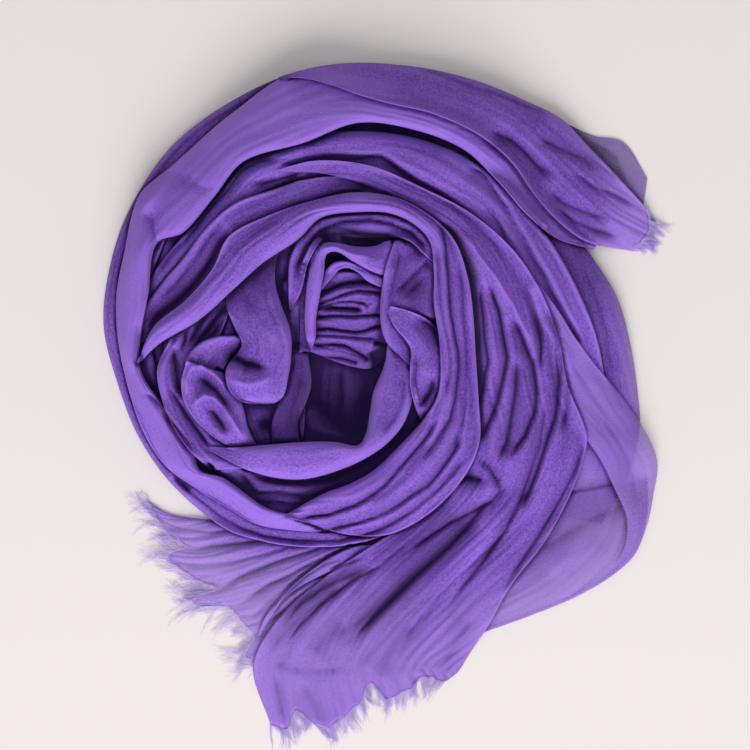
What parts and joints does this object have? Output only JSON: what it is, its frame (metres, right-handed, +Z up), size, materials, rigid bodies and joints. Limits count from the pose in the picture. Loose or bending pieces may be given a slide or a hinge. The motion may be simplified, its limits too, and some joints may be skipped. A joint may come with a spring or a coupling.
{
  "type": "pashmina shawl",
  "caption": "Fine sheer woven shawl, gathered along its length, wound into a loose coil and laid flat, with its three fringed edges spread out at the rim.",
  "frame": {"origin": "on the table, under the middle of the heap's bounding box", "axes": "+Z up, square to the table; +Y towards the top of the picture, +X towards its right"},
  "size_m": [0.3932, 0.477, 0.0564],
  "materials": {
    "cloth": "matt fine plain weave",
    "fringe": "loose untwisted yarn ends"
  },
  "bodies": {
    "root": {"hidden_layers": "cloth", "rim_layer_lower": "cloth", "rim_layer_lower_top": "cloth", "hollow_floor": "cloth", "left_bowl_sheet": "cloth", "right_under_sheet": "cloth", "lower_left_end": "cloth", "fringe_left": "fringe", "right_loop_under": "cloth", "second_turn_left": "cloth", "second_turn_right": "cloth", "outer_turn_left": "cloth", "outer_turn_top": "cloth", "upper_end_flap": "cloth", "top_sheet": "cloth", "upper_end": "cloth", "fringe_upper": "fringe", "left_inner_sheet": "cloth", "third_turn_top": "cloth", "right_pleats": "cloth", "lower_end": "cloth", "fringe_lower": "fringe", "right_loop": "cloth", "inner_turn_left": "cloth", "inner_turn_right": "cloth", "ring_bottom": "cloth", "left_inner_folds": "cloth", "bowl_fold": "cloth", "inner_arcs": "cloth", "centre_ruffles": "cloth", "centre_arch": "cloth", "centre_right_fold": "cloth", "right_curl": "cloth", "left_post_fold": "cloth", "left_petal_lower": "cloth", "left_petal_upper": "cloth"}
  },
  "joints": []
}
